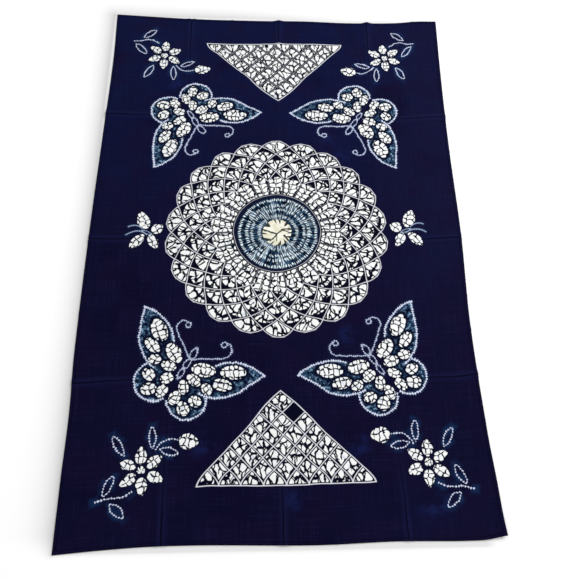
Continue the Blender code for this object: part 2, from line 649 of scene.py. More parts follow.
# Places on the cloth, in metres, where the dye took more lightly, and how far each spreads.
PALE_PATCHES = (
    ((0.154, 0.344), 0.050),
    ((0.205, 0.295), 0.040),
    ((0.198, -0.305), 0.045),
    ((-0.198, -0.613), 0.050),
    ((0.209, -0.613), 0.045),
    ((0.374, -0.767), 0.060),
    ((0.033, -0.745), 0.040),
    ((-0.330, 0.560), 0.045),
)


def indigo_ground():
    """Cotton dyed deep indigo: a cloudy, uneven dye, with painted shade along the folds and a painted highlight beside
    them, and a stitched hem.
    """
    group, inside, outside = new_group("indigo ground", {"Place": ("point", None)}, {"Color": "colour"})
    place = inside.outputs["Place"]
    across, along = parts(place)
    clouds = mottle(place, 3.2, 3.0, 0.55)
    streaks = mottle(joined(across * 260.0, along * 9.0), 1.0, 1.0) + mottle(joined(across * 9.0, along * 260.0), 1.0, 1.0)
    base = tinted(fade(along, -0.35, 0.75), tone(18, 17, 42), tone(17, 22, 55))
    base = tinted(fade(across, 0.15, 0.55) * fade(along, -0.5, 0.2) * 0.6, base, tone(22, 21, 49))
    clouded = tinted(fade(clouds, 0.52, 0.74) * (fade(along, 0.1, 0.7) * 0.6 + 0.25), base, tone(19, 25, 60))
    dim = tinted(fade(clouds, 0.46, 0.30), clouded, tone(16, 14, 38))
    plum = fade(mottle(place, 10.0, 4.0, 0.65), 0.42, 0.64)
    dim = tinted(plum * 0.5, dim, tone(23, 17, 44))
    pale = None
    for centre, reach in PALE_PATCHES:
        patch = fade(vector_maths("LENGTH", moved(place, centre)), reach, reach * 0.1)
        pale = patch if pale is None else most(pale, patch)
    smudged = tinted(pale * fade(mottle(place, 26.0, 3.0, 0.6), 0.38, 0.66) * 0.5, dim, tone(26, 38, 88))
    streaked = tinted(fade(streaks, 0.95, 1.45) * 0.30, smudged, tone(31, 35, 72))
    sway = (mottle(place, 5.0, 1.0) - 0.5) * (9 * MM)
    fold_across = least(*(size_of(along - crease[0] + sway) for crease in CREASES_ACROSS))
    fold_along = least(*(size_of(across - crease[0] + sway) for crease in CREASES_ALONG))
    # Painted light on the folds: a paler band round each fold is a painted highlight, and the dark line on the fold is
    # painted shade. Both are strongest towards the cloth's edges.
    fold_shading_across = fade(size_of(across), 0.24, 0.50) * 0.8 + 0.1
    fold_shading_along = fade(size_of(along), 0.55, 0.80) * 0.8 + 0.1
    band = most(fade(fold_across, 17 * MM, 4 * MM) * fold_shading_across, fade(fold_along, 15 * MM, 4 * MM) * fold_shading_along)
    line = most(fade(fold_across, 3.4 * MM, 1.2 * MM) * fold_shading_across, fade(fold_along, 3.0 * MM, 1.0 * MM) * fold_shading_along)
    # The ground with the painted highlight and the painted shade of the folds laid over it.
    folded = tinted(line * 0.85, tinted(band * 0.24, streaked, tone(33, 37, 80)), tone(8, 7, 22))
    to_edge = least(CUT_WIDTH / 2 - size_of(across), CUT_LENGTH / 2 - size_of(along))
    hem = most(fade(size_of(to_edge - HEM_WIDTH), 1.6 * MM, 0.5 * MM) * 0.6, fade(to_edge, 2.5 * MM, 0.8 * MM) * 0.7)
    hemmed = tinted(hem, folded, tone(8, 8, 22))
    plug(group, outside.inputs["Color"], hemmed)
    return group


def cotton_weave():
    """Plain-woven threads with slubs, as a height in metres and a change of tone."""
    group, inside, outside = new_group(
        "cotton weave", {"Place": ("point", None)}, {"Height": "number", "Tone": "number"}
    )
    across, along = parts(inside.outputs["Place"])
    threads_per_metre = 1150.0
    warp = to_whole(across * threads_per_metre)
    weft = to_whole(along * threads_per_metre)
    slubs = mottle(joined(across * 900.0, along * 40.0), 1.0, 1.0) + mottle(joined(across * 40.0, along * 900.0), 1.0, 1.0)
    plug(group, outside.inputs["Height"], (warp + weft) * (0.12 * MM) + slubs * (0.10 * MM))
    plug(group, outside.inputs["Tone"], slubs * 0.5)
    return group


def stitched_line():
    """A line of resist stitches: a white cord with teeth, or a row of dots where Gap is 1, and its blue halo."""
    group, inside, outside = new_group(
        "stitched line",
        {
            "Across": ("number", None),
            "Along": ("number", None),
            "Half Width": ("number", 2.8 * MM),
            "Pitch": ("number", 6.8 * MM),
            "Gap": ("number", 0.0),
        },
        {"Line": "number", "Halo": "number"},
    )
    names = ("Across", "Along", "Half Width", "Pitch", "Gap")
    across, along, half_width, pitch, gap = (Field(inside.outputs[name]) for name in names)
    beat = to_whole((along + across * 0.5) / pitch) * 2.0
    swell = chosen(gap, 0.16, -0.10) + beat * chosen(gap, 1.12, 1.24)
    reach = half_width * swell
    plug(group, outside.inputs["Line"], fade(across - reach, 0.5 * MM, -0.6 * MM))
    plug(group, outside.inputs["Halo"], fade(across - half_width, 6 * MM, 0.0))
    return group


def bound_petal():
    """A petal tied up before dyeing: two rows of white pebbles on both sides of a dark seam. Taper points one end."""
    group, inside, outside = new_group(
        "bound petal",
        {
            "Along": ("number", None),
            "Across": ("number", None),
            "Half Length": ("number", 20 * MM),
            "Half Width": ("number", 12 * MM),
            "Place": ("point", None),
            "Pebble": ("number", 14 * MM),
            "Shift": ("number", 0.0),
            "Taper": ("number", 0.0),
        },
        {"White": "number", "Inside": "number"},
    )
    names = ("Along", "Across", "Half Length", "Half Width", "Pebble", "Shift", "Taper")
    along, across, half_length, half_width, pebble, shift, taper = (Field(inside.outputs[name]) for name in names)
    share_x = along / half_length
    share_y = across / half_width / (1.0 - taper * least(most(share_x, 0.0), 1.0))
    reach = maths("SQRT", share_x * share_x + share_y * share_y)
    to_rim = (1.0 - reach) * half_width
    wander = mottle(inside.outputs["Place"], 45.0, 1.0) - 0.5
    spot = joined(along / pebble + wander + shift * 31.0, share_y + wander * 0.9 + shift * 9.0)
    to_crack = to_crackle(spot, 0.50) * pebble
    thin = (mottle(inside.outputs["Place"], 110.0, 1.0) - 0.31) * (5.2 * MM)
    pebble_edge = maths("SMOOTH_MIN", to_crack - thin, to_rim, 3 * MM)
    plug(group, outside.inputs["White"], fade(pebble_edge, 0.0, 1.0 * MM))
    plug(group, outside.inputs["Inside"], fade(to_rim, -4.5 * MM, 0.5 * MM))
    return group


# How far out from a cell's inner corner its pebbles are as wide as their named size.
FAN_REACH = 50 * MM


def bound_cell():
    """One cell of a lattice: white pebbles fanned out from its inner corner, parted by a dark trunk and cracks."""
    group, inside, outside = new_group(
        "bound cell",
        {
            "Across": ("number", None),
            "Up": ("number", None),
            "Edge": ("number", None),
            "Corner": ("number", None),
            "Cell": ("number", None),
            "Place": ("point", None),
            "Pebble": ("number", 17 * MM),
            "Dark": ("number", 0.0),
            "Fork": ("number", 1.0),
        },
        {"White": "number"},
    )
    names = ("Across", "Up", "Edge", "Corner", "Cell", "Pebble", "Dark", "Fork")
    across, up, edge, corner, cell, pebble, dark, fork = (Field(inside.outputs[name]) for name in names)
    wander = mottle(inside.outputs["Place"], 60.0, 2.0) - 0.5
    thin = mottle(inside.outputs["Place"], 90.0, 1.0)
    trunk_width = dark + 2.5 * MM - up * 0.034
    leaning = across + (cell - 0.5) * up * 0.9 + wander * (13 * MM)
    branches = size_of(size_of(leaning) - most(up - fork, 0.0) * 0.85)
    trunk = branches - trunk_width
    fan_up = up + 8 * MM
    fan_turn = maths("ARCTAN2", leaning, fan_up) * FAN_REACH
    fan_out = maths("SQRT", leaning * leaning + fan_up * fan_up)
    spot = joined(fan_turn / pebble + cell * 61.0, fan_out / pebble * 0.68 + cell * 23.0)
    opening = fade(fan_out, 12 * MM, 40 * MM)
    crack_width = ((thin - 0.26) * (5.6 * MM) + dark + 2.4 * MM) * opening - 2.4 * MM
    crack = to_crackle(spot, 0.62) * pebble * fan_out / FAN_REACH - crack_width
    seam = maths("SMOOTH_MIN", trunk, crack, 1.6 * MM)
    rim = least(edge - 3.3 * MM, corner)
    patch = maths("SMOOTH_MIN", seam, rim, 4 * MM)
    plug(group, outside.inputs["White"], fade(patch, 0.0, 1.0 * MM))
    return group


INDIGO = indigo_ground()
WEAVE = cotton_weave()
STITCHES = stitched_line()
PETAL = bound_petal()
CELL = bound_cell()


def new_cotton(name):
    """A material with its node tree, the flat map as a point, and the indigo ground's colour laid on that map."""
    material = bpy.data.materials.new(name)
    material.use_nodes = True
    tree = material.node_tree
    place = map_of(tree, "flat")
    return material, tree, place, placed(tree, INDIGO, Place=place).outputs["Color"]


def finish_cotton(tree, place, colour):
    """Gives a material's shader its colour, its threads and its dull nap."""
    shader = next(node for node in tree.nodes if node.type == "BSDF_PRINCIPLED")
    weave = placed(tree, WEAVE, Place=place)
    shade = Field(weave.outputs["Tone"])
    toned = tree.nodes.new("ShaderNodeMix")
    toned.data_type = "RGBA"
    toned.blend_type = "MULTIPLY"
    inputs = {socket.identifier: socket for socket in toned.inputs}
    inputs["Factor_Float"].default_value = 1.0
    level = fade(shade, 0.0, 1.0) * 0.22 + 0.89
    plug(tree, inputs["A_Color"], colour)
    plug(tree, inputs["B_Color"], joined(level, level, level))
    plug(tree, shader.inputs["Base Color"], next(s for s in toned.outputs if s.identifier == "Result_Color"))
    plug(tree, shader.inputs["Roughness"], shade * 0.2 + 0.72)
    bump = tree.nodes.new("ShaderNodeBump")
    bump.inputs["Strength"].default_value = 0.35
    bump.inputs["Distance"].default_value = 1.0
    plug(tree, bump.inputs["Height"], Field(weave.outputs["Height"]))
    plug(tree, shader.inputs["Normal"], bump.outputs["Normal"])
    shader.inputs["Specular IOR Level"].default_value = 0.03
    shader.inputs["Sheen Weight"].default_value = 0.008
    shader.inputs["Sheen Roughness"].default_value = 0.5


def whites(place):
    """The undyed cotton's own colour, a little cloudy from the dye that crept in."""
    crept = mottle(place, 60.0, 2.0)
    return tinted(fade(crept, 0.54, 0.80), tone(243, 245, 244), tone(196, 206, 222))


def arc(point, centre, radius, start, end):
    """How far a point is from an arc and where it is along it. Angles run against the clock from +X."""
    local = moved(point, centre, (start + end) / 2)
    x, y = parts(local)
    turn = maths("ARCTAN2", y, x)
    ring = size_of(vector_maths("LENGTH", local) - radius)
    if end - start < 360:
        ring = most(ring, (size_of(turn) - math.radians(end - start) / 2) * radius)
    return ring, turn * radius


def straight(point, start, end):
    """As arc, for a straight line between two points."""
    run = Vector(end) - Vector(start)
    x, y = parts(moved(point, start, math.degrees(math.atan2(run.y, run.x))))
    return most(size_of(y), x * -1.0, x - run.length), x


def oval(point, centre, turn, half_length, half_width):
    """As arc, for a closed oval."""
    local = moved(point, centre, turn, (half_length, half_width))
    x, y = parts(local)
    ring = size_of(vector_maths("LENGTH", local) - 1.0) * ((half_length + 3 * half_width) / 4)
    return ring, maths("ARCTAN2", y, x) * ((half_length + half_width) / 2)


def nearest_line(*lines):
    """The line that a point is nearest to, of several."""
    across, along = lines[0]
    for next_across, next_along in lines[1:]:
        is_nearer = maths("LESS_THAN", next_across, across)
        along = chosen(is_nearer, along, next_along)
        across = least(across, next_across)
    return across, along


def nearest_oval(point, ovals):
    """The oval that a point lies deepest in, of several: the point along and across it, and its sizes."""
    best = None
    for centre_x, centre_y, half_length, half_width, turn in ovals:
        local = moved(point, (centre_x, centre_y), turn, (half_length, half_width))
        reach = vector_maths("LENGTH", local)
        if best is None:
            tree = point.id_data
            size = joined(Field(reach.socket) * 0.0 + half_length, half_width)
            best = (reach, local, size)
            continue
        is_deeper = maths("LESS_THAN", reach, best[0])
        best = (
            least(reach, best[0]),
            chosen_point(is_deeper, best[1], local),
            chosen_point(is_deeper, best[2], (half_length, half_width, 0.0)),
        )
    reach, local, size = best
    along, across = parts(vector_maths("MULTIPLY", local, size))
    half_length, half_width = parts(size)
    return along, across, half_length, half_width, reach


# The butterfly, in its own frame: +Y is the way that it faces. One half stands for both.
WING_TIP = (0.194, 0.090)
FOREWING_FRONT = ((0.1625, -0.0225), 0.1168, 73, 144)
FOREWING_BACK = ((0.0495, 0.0795), 0.1262, -81, -25)
FOREWING_BACK_TURNS_AT = (0.1635, 0.0255)
HINDWING = ((0.0513, -0.0760), 0.0518, -149, 37)
FEELER_ROOT, FEELER_BEND = (0.005, 0.027), (0.0775, 0.0777)
FEELER_CROOK = ((0.0645, 0.0942), 0.0209, -52, 100)
FEELER_RING = ((0.0582, 0.1080), 0.0072)
BODY_RINGS = ((0.0, 0.011, 90, 0.0165, 0.0072), (0.0, -0.0215, 90, 0.0155, 0.0066))
HEAD_RING = (0.0, 0.0445, 90, 0.0170, 0.0088)
# White patches on a half: centre, half length, half width and turn in degrees.
WING_PATCHES = (
    (0.119, 0.054, 0.036, 0.0205, 34),
    (0.111, 0.008, 0.027, 0.0160, 20),
    (0.082, -0.023, 0.018, 0.0140, -14),
    (0.047, 0.018, 0.032, 0.0195, 23),
    (0.039, -0.020, 0.022, 0.0145, -6),
    (0.025, -0.051, 0.020, 0.0140, -52),
    (0.020, -0.086, 0.021, 0.0145, -78),
    (0.054, -0.100, 0.021, 0.0165, -40),
    (0.073, -0.067, 0.019, 0.0155, 10),
)


def butterfly_cotton():
    """Butterflies: mottled blue wings in a white stitched outline, with bound white patches, and two feelers."""
    material, tree, place, ground = new_cotton("butterfly cotton")
    point = wavering(map_of(tree, "motif"), place, 2.2 * MM, 16.0)
    x, y = parts(point)
    half = joined(size_of(x), y)
    side_x = size_of(x)
    near_edge = fade(parts(place)[1], 0.1, -0.1)
    drawn = wavering(point, place, 1.3 * MM, 120.0, 0.0)
    drawn_x, drawn_y = parts(drawn)
    drawn_half = joined(size_of(drawn_x), drawn_y)

    front = arc(drawn_half, *FOREWING_FRONT)
    back = arc(drawn_half, *FOREWING_BACK)
    tip_run = straight(drawn_half, FOREWING_BACK_TURNS_AT, WING_TIP)
    hind = arc(drawn_half, *HINDWING)
    outline_across, outline_along = nearest_line(front, back, tip_run, hind)
    outline = placed(
        tree, STITCHES, Across=outline_across, Along=outline_along, Half_Width=3.1 * MM, Gap=near_edge * 0.3
    )
    thin_across, thin_along = nearest_line(
        straight(drawn_half, FEELER_ROOT, FEELER_BEND),
        arc(drawn_half, *FEELER_CROOK),
        arc(drawn_half, *FEELER_RING, 0, 360),
        *(oval(drawn, (ring[0], ring[1]), *ring[2:]) for ring in (*BODY_RINGS, HEAD_RING)),
    )
    thin = placed(
        tree, STITCHES, Across=thin_across, Along=thin_along, Half_Width=2.3 * MM, Pitch=5.6 * MM, Gap=near_edge * 0.5
    )

    front_rim = vector_maths("LENGTH", moved(half, FOREWING_FRONT[0])) - FOREWING_FRONT[1]
    back_rim = vector_maths("LENGTH", moved(half, FOREWING_BACK[0])) - FOREWING_BACK[1]
    run = Vector(WING_TIP) - Vector(FOREWING_BACK_TURNS_AT)
    past_turn, off_run = parts(moved(half, FOREWING_BACK_TURNS_AT, math.degrees(math.atan2(run.y, run.x))))
    back_rim = least(back_rim, most(off_run * -1.0, past_turn * -1.0))
    hind_rim = vector_maths("LENGTH", moved(half, HINDWING[0])) - HINDWING[1]
    winged = most(fade(most(front_rim, back_rim), 1.0 * MM, -1.0 * MM), fade(hind_rim, 1.0 * MM, -1.0 * MM))
    off_body = fade(side_x, 0.008, 0.030)
    flecks = mottle(place, 95.0, 3.0, 0.7)
    broad = mottle(place, 14.0, 1.0)
    blue = tinted(fade(flecks, 0.41, 0.56), tone(3, 12, 33), tone(52, 83, 114))
    blue = tinted(fade(flecks, 0.55, 0.63), blue, tone(146, 178, 200))

    along, across, half_length, half_width, reach = nearest_oval(half, WING_PATCHES)
    patch = placed(
        tree, PETAL, Along=along, Across=across, Half_Length=half_length, Half_Width=half_width, Place=place,
        Shift=maths("GREATER_THAN", x, 0.0) * 0.37,
    )
    from_patch = fade((reach - 1.0) * half_width, 2.5 * MM, 9 * MM)
    blue_share = winged * off_body * from_patch * (fade(broad, 0.30, 0.55) * 0.5 + 0.5)
    navy = tinted(winged * off_body * 0.6, ground, tone(12, 22, 44))
    mottled = tinted(blue_share, navy, blue)
    rimmed = tinted(Field(patch.outputs["Inside"]) * 0.85, mottled, tone(10, 15, 34))
    patched = tinted(Field(patch.outputs["White"]), rimmed, whites(place))
    haloed = tinted(most(Field(outline.outputs["Halo"]), Field(thin.outputs["Halo"])) * 0.14, patched, tone(44, 66, 116))
    lined = tinted(Field(outline.outputs["Line"]) * 0.96, haloed, tone(212, 220, 241))
    lined = tinted(Field(thin.outputs["Line"]) * 0.90, lined, tone(196, 206, 232))
    finish_cotton(tree, place, lined)
    return material


# The core's rings of white stitches: radius, half width and strength. Outside the turn radius there are more
# stitches in a round than inside it.
CORE_MIDDLE = (0.0018, -0.0012)
CORE_RINGS = (
    (0.1130, 0.0052, 1.00),
    (0.0925, 0.0064, 0.90),
    (0.0780, 0.0052, 0.85),
    (0.0560, 0.0060, 0.84),
)
CORE_STITCHES_TURN = 0.1035
CORE_STITCHES_IN, CORE_STITCHES_OUT = 78, 114
# Dark cracks in the eye: start, end and half width.
EYE_CRACKS = (
    ((0.000, -0.006), (-0.037, 0.007), 3.0 * MM),
    ((0.000, -0.006), (0.014, 0.009), 2.8 * MM),
    ((0.014, 0.009), (0.035, 0.013), 2.6 * MM),
    ((0.000, -0.006), (-0.021, -0.030), 2.3 * MM),
    ((0.021, -0.011), (0.036, -0.031), 3.1 * MM),
    ((0.014, 0.008), (0.042, -0.002), 1.9 * MM),
    ((-0.001, -0.008), (-0.003, -0.028), 1.7 * MM),
)


def core_colour(point, turn):
    """The rosette's core: a cream eye in rings of white stitches on steel blue, inside a dark ring."""
    ring_point = moved(point, CORE_MIDDLE)
    radius = vector_maths("LENGTH", ring_point)
    x, y = parts(vector_maths("NORMALIZE", ring_point))
    rays = mottle(joined(x * 19.0, y * 19.0, radius * 9.0), 1.0, 1.0, 0.4)
    bunching = mottle(joined(x * 7.0, y * 7.0, radius * 26.0), 1.0, 1.0) - 0.5
    quarters = mottle(joined(x * 2.6, y * 2.6, radius * 30.0), 1.0, 1.0)
    blots = mottle(joined(x * 14.0, y * 14.0, radius * 45.0), 1.0, 1.0)
    stitches = chosen(maths("GREATER_THAN", radius, CORE_STITCHES_TURN), CORE_STITCHES_IN, CORE_STITCHES_OUT)
    beat = to_whole(turn * stitches / math.tau + bunching * 2.6) * 2.0
    stitch = fade(beat + (rays - 0.5) * 0.9, 0.46, 0.68)
    unsteady_radius = radius + (rays - 0.5) * (12 * MM)
    bands = None
    for ring_radius, half_width, strength in CORE_RINGS:
        band = fade(size_of(unsteady_radius - ring_radius), half_width * 0.95, half_width * 0.40) * strength
        bands = band if bands is None else most(bands, band)
    steel = tinted(fade(rays, 0.38, 0.62), tone(14, 32, 54), tone(66, 98, 124))
    steel = tinted(fade(quarters, 0.48, 0.66) * 0.5, steel, tone(112, 139, 158))
    blot = fade(blots, 0.46, 0.53) * fade(bands, 0.7, 0.1)
    blotted = tinted(blot * 0.95, steel, tone(8, 18, 34))
    blotted = tinted(bands * 0.45, blotted, tone(12, 26, 46))
    run_on = fade(quarters + (size_of(y) - size_of(x)) * 0.06, 0.50, 0.58) * (0.70 - blot * 0.55)
    dashed = tinted(stitch * most(bands, run_on), blotted, tone(232, 246, 254))
    dark_ring = fade(radius + (mottle(point, 30.0, 1.0) - 0.5) * (6 * MM), 0.1174, 0.1198)
    core = tinted(dark_ring, dashed, tone(20, 26, 48))

    eye_radius = vector_maths("LENGTH", point)
    rim_wander = (mottle(point, 34.0, 1.0) - 0.5) * (11 * MM)
    notch = to_whole(turn * (13 / math.tau) + mottle(point, 18.0, 1.0) * 3.2) * eye_radius * (math.tau / 13)
    notch_width = most(eye_radius + rim_wander - 0.026, 0.0) * 0.25
    cracks = fade(notch - notch_width, 0.6 * MM, -0.3 * MM) * fade(eye_radius + rim_wander, 0.026, 0.033)
    unsteady = wavering(point, point, 1.6 * MM, 70.0)
    for start, end, half_width in EYE_CRACKS:
        across, along = straight(unsteady, start, end)
        cracks = most(cracks, fade(across, half_width * 1.2, half_width * 0.5))
    bleached = tinted(fade(mottle(point, 40.0, 2.0), 0.40, 0.66), tone(226, 223, 200), tone(246, 246, 234))
    cream = tinted(cracks * 0.96, bleached, tone(16, 22, 24))
    in_eye = fade(eye_radius + rim_wander * 0.55, EYE_REACH + 0.8 * MM, EYE_REACH - 0.8 * MM)
    return tinted(in_eye, core, cream)


def rosette_cotton():
    """The rosette in the middle of the cloth."""
    material, tree, place, ground = new_cotton("rosette cotton")
    plain_point = map_of(tree, "motif")
    point = wavering(plain_point, place, 3.6 * MM, 8.0)
    x, y = parts(point)
    radius = vector_maths("LENGTH", point)
    turn = maths("ARCTAN2", x, y)
    petals = (turn + PETAL_TURN) * (PETALS / math.tau)
    steps_in = most((PETAL_TIP - radius) / PETAL_SPREAD, 0.0)
    spread = maths("SQRT", steps_in * most(steps_in + 2 * PETAL_ROUND, PETAL_SHOULDER))
    sector = radius * (math.tau / PETALS)
    slope = most(steps_in + PETAL_ROUND, PETAL_SHOULDER / 2) / most(spread, 0.05) * (1 / PETAL_SPREAD) * sector
    to_metres = sector / maths("SQRT", slope * slope + 1.0)
    rightward = petals - spread
    leftward = petals * -1.0 - spread
    lattice = least(to_whole(rightward), to_whole(leftward)) * to_metres
    lattice = most(lattice, radius - PETAL_TIP)
    off_axis = to_whole(petals)
    leaves = maths("GREATER_THAN", spread, LEAF_FROM)
    between_leaves = (0.5 - off_axis) * sector
    edge = chosen(leaves, lattice, between_leaves)
    edge = least(edge, size_of(radius - CORE_REACH) + 0.6 * MM)

    cell_right = maths("FRACT", rightward)
    cell_left = maths("FRACT", leftward)
    row = maths("FLOOR", rightward) + maths("FLOOR", leftward)
    cell_across = (cell_right - cell_left) * (sector * 0.5)
    cell_up = (cell_right + cell_left) * (PETAL_SPREAD / 2)
    white_noise = tree.nodes.new("ShaderNodeTexWhiteNoise")
    white_noise.noise_dimensions = "2D"
    plug(tree, white_noise.inputs["Vector"], joined(maths("FLOOR", rightward) + 0.5, maths("FLOOR", leftward) + 0.5))
    cell_number = Field(white_noise.outputs["Value"])
    is_outer = maths("GREATER_THAN", row, -2.5)
    out_of_corner = maths("SQRT", cell_right * cell_right + cell_left * cell_left)
    cap = (1.02 - out_of_corner + is_outer + (cell_number - 0.5) * 0.14) * 0.042
    side = (0.80 - size_of(cell_right - cell_left)) * (sector * 0.5)
    corner = least(cap, side)
    cell = placed(
        tree, CELL, Across=cell_across, Up=cell_up, Edge=lattice, Corner=corner, Cell=cell_number, Place=place,
        Pebble=20 * MM, Dark=0.26 * MM, Fork=cell_number * (16 * MM) + 20 * MM,
    )

    leaf_number = maths("ROUND", petals)
    leaf_across = (petals - leaf_number) * sector
    wander = mottle(place, 60.0, 1.0) - 0.5
    column = leaf_across / (sector * 0.46) + wander * 0.5
    leaf_spot = joined(column + leaf_number * 4.0, (radius - size_of(leaf_across) * 0.25) / (16 * MM) + wander)
    thin = (mottle(place, 100.0, 1.0) - 0.25) * (5.0 * MM)
    leaf_crack = to_crackle(leaf_spot, 0.45) * (16 * MM) - thin
    leaf_seam = least(leaf_crack, size_of(leaf_across + wander * (5 * MM)) - 0.5 * MM)
    leaf_rim = least(between_leaves - 2.5 * MM, radius - (CORE_REACH + 4.0 * MM), most(cap, maths("LESS_THAN", row, -6.5)))
    leaf = fade(maths("SMOOTH_MIN", leaf_seam, leaf_rim, 4 * MM), 0.0, 1.0 * MM)
    is_leaf = maths("LESS_THAN", row, -5.5)
    white = chosen(is_leaf, Field(cell.outputs["White"]), leaf)

    inside = fade((off_axis - spread) * to_metres, 1.0 * MM, 0.0)
    inside = least(inside, fade(radius, PETAL_TIP + 1 * MM, PETAL_TIP))
    dark = tinted(inside, ground, tone(14, 15, 30))
    patched = tinted(white * inside, dark, whites(place))
    line = fade(edge + leaves * 0.7 * MM, 1.75 * MM, 0.7 * MM) * (0.92 - leaves * 0.52)
    line = most(line, fade(size_of(radius - CORE_REACH), 1.7 * MM, 0.6 * MM) * 0.62)
    lined = tinted(line, patched, tone(216, 216, 224))
    core = core_colour(plain_point, turn)
    whole = tinted(fade(radius, CORE_REACH, CORE_REACH - 1 * MM), lined, core)
    finish_cotton(tree, place, whole)
    return material


def pennant_cotton():
    """The two pennants. In the near one, one cell is left dark."""
    material, tree, place, ground = new_cotton("pennant cotton")
    point = wavering(map_of(tree, "motif"), place, 2.0 * MM, 12.0)
    x, y = parts(point)
    half_cell = PENNANT_HEIGHT / PENNANT_CELLS
    arched = maths("POWER", most(y, 0.0) / ARCH_TOP, 1.6) * half_cell
    above_arch = (y - ARCH_TOP) * ((PENNANT_HEIGHT - half_cell) / (PENNANT_HEIGHT - ARCH_TOP)) + half_cell
    level = chosen(maths("GREATER_THAN", y, ARCH_TOP), arched, above_arch)
    level = least(level, y * 2.0 + 0.002)
    down = 1.0 - level / PENNANT_HEIGHT
    far_end = fade(parts(place)[1], 0.0, 0.1)
    near_apex = fade(down, 0.42, 0.04)
    leaning = x - chosen(far_end, NEAR_LEAN, FAR_LEAN) * (y / PENNANT_HEIGHT)
    aside = leaning / (near_apex * APEX_BULGE + 1.0) / PENNANT_HALF
    from_left = (down + aside) * (PENNANT_CELLS / 2)
    from_right = (down - aside) * (PENNANT_CELLS / 2)
    run = math.hypot(PENNANT_HEIGHT, PENNANT_HALF)
    to_metres = 2 * PENNANT_HALF * PENNANT_HEIGHT / run / PENNANT_CELLS
    lattice = least(to_whole(from_left), to_whole(from_right)) * to_metres
    outside = most(from_left * -to_metres, from_right * -to_metres, y * -1.0)
    edge = most(least(lattice, size_of(y)), outside)

    cell_left = maths("FRACT", from_left)
    cell_right = maths("FRACT", from_right)
    cell_across = (cell_left - cell_right) * (PENNANT_HALF / PENNANT_CELLS)
    cell_up = (cell_left + cell_right) * half_cell
    white_noise = tree.nodes.new("ShaderNodeTexWhiteNoise")
    white_noise.noise_dimensions = "2D"
    numbers = joined(maths("FLOOR", from_left) + 0.5, maths("FLOOR", from_right) + 9.5)
    plug(tree, white_noise.inputs["Vector"], numbers)
    off_x, off_y = cell_left - 0.5, cell_right - 0.5
    corner = (0.58 - maths("SQRT", off_x * off_x + off_y * off_y)) * to_metres
    cell_number = Field(white_noise.outputs["Value"])
    trunk_up = chosen(far_end, 2 * half_cell - cell_up, cell_up)
    cell = placed(
        tree, CELL, Across=cell_across, Up=trunk_up, Edge=edge, Corner=corner, Cell=cell_number, Place=place, Pebble=20 * MM,
        Dark=0.08 * MM - far_end * (0.30 * MM), Fork=cell_number * (18 * MM) + 16 * MM,
    )
    inside = fade(outside, 0.6 * MM, -0.4 * MM)
    off_empty = size_of(maths("FLOOR", from_left) - EMPTY_CELL[0]) + size_of(maths("FLOOR", from_right) - EMPTY_CELL[1])
    is_empty = maths("LESS_THAN", off_empty, 0.5) * (1.0 - far_end)
    dark = tinted(inside, ground, tone(14, 15, 32))
    patched = tinted(Field(cell.outputs["White"]) * inside * (1.0 - is_empty), dark, whites(place))
    inner_line = fade(size_of(edge), 1.8 * MM, 0.7 * MM) * (0.94 - far_end * 0.66)
    border = fade(size_of(outside), 1.9 * MM, 0.8 * MM)
    lined = tinted(most(inner_line, border * 0.94), patched, tone(222, 224, 231))
    finish_cotton(tree, place, lined)
    return material


# The small butterfly, in its own frame: patches as for the wings, then its feelers and body.
SMALL_PATCHES = (
    (-0.011, 0.035, 0.031, 0.0185, 112),
    (0.032, 0.007, 0.0195, 0.0165, 35),
    (-0.025, -0.035, 0.029, 0.0155, 228),
    (0.022, -0.036, 0.0250, 0.0150, -62),
)
SMALL_FEELERS = (
    ((-0.037, -0.013), 0.0320, 42, 120),
    ((-0.028, -0.044), 0.0430, 48, 133),
)
SMALL_BODY = (0.002, -0.006, -22, 0.0150, 0.0042)


def small_butterfly_cotton():
    """The two small butterflies: four bound patches, a thin body and two blue-white feelers."""
    material, tree, place, ground = new_cotton("small butterfly cotton")
    point = wavering(map_of(tree, "motif"), place, 1.3 * MM, 26.0)
    along, across, half_length, half_width, reach = nearest_oval(point, SMALL_PATCHES)
    patch = placed(
        tree, PETAL, Along=along, Across=across, Half_Length=half_length, Half_Width=half_width,
        Place=place, Pebble=15 * MM, Taper=0.34,
    )
    thin_across, thin_along = nearest_line(
        *(arc(point, *feeler) for feeler in SMALL_FEELERS),
        oval(point, SMALL_BODY[:2], *SMALL_BODY[2:]),
    )
    thin = placed(tree, STITCHES, Across=thin_across, Along=thin_along, Half_Width=1.9 * MM, Pitch=5 * MM, Gap=0.2)
    haloed = tinted(Field(thin.outputs["Halo"]) * 0.4, ground, tone(36, 62, 92))
    rimmed = tinted(Field(patch.outputs["Inside"]) * 0.8, haloed, tone(16, 20, 40))
    lined = tinted(Field(thin.outputs["Line"]) * 0.86, rimmed, tone(176, 192, 222))
    patched = tinted(Field(patch.outputs["White"]), lined, whites(place))
    finish_cotton(tree, place, patched)
    return material


# The flower sprays, in their own frame: the flower's middle is at the origin and the bud is to the right. Each
# oval is its centre, half length, half width and turn in degrees.
FLOWER_TURN = 27.0
FLOWER_PETALS = 6
FLOWER_EYE = (-0.0015, -0.0020, 0.0112, 0.0112, 20)
FAR_SPRAY = {
    "petal": (0.0375, 0.0, 0.0218, 0.0138, 0),
    "bud": (0.1270, -0.0565, 0.0255, 0.0190, 10),
    "bud stem": ((0.080, -0.020), 0.0460, -150, -62),
    "stem": ((-0.107, 0.052), (-0.084, 0.054), (-0.060, 0.063), (-0.042, 0.061), (-0.022, 0.048)),
    "leaves": (
        (0.077, -0.036, 0.0240, 0.0072, 25),
        (0.033, -0.076, 0.0268, 0.0087, -87),
        (-0.049, -0.072, 0.0285, 0.0090, 64),
        (-0.080, 0.021, 0.0260, 0.0094, -47),
        (-0.053, 0.089, 0.0270, 0.0090, 42),
    ),
}
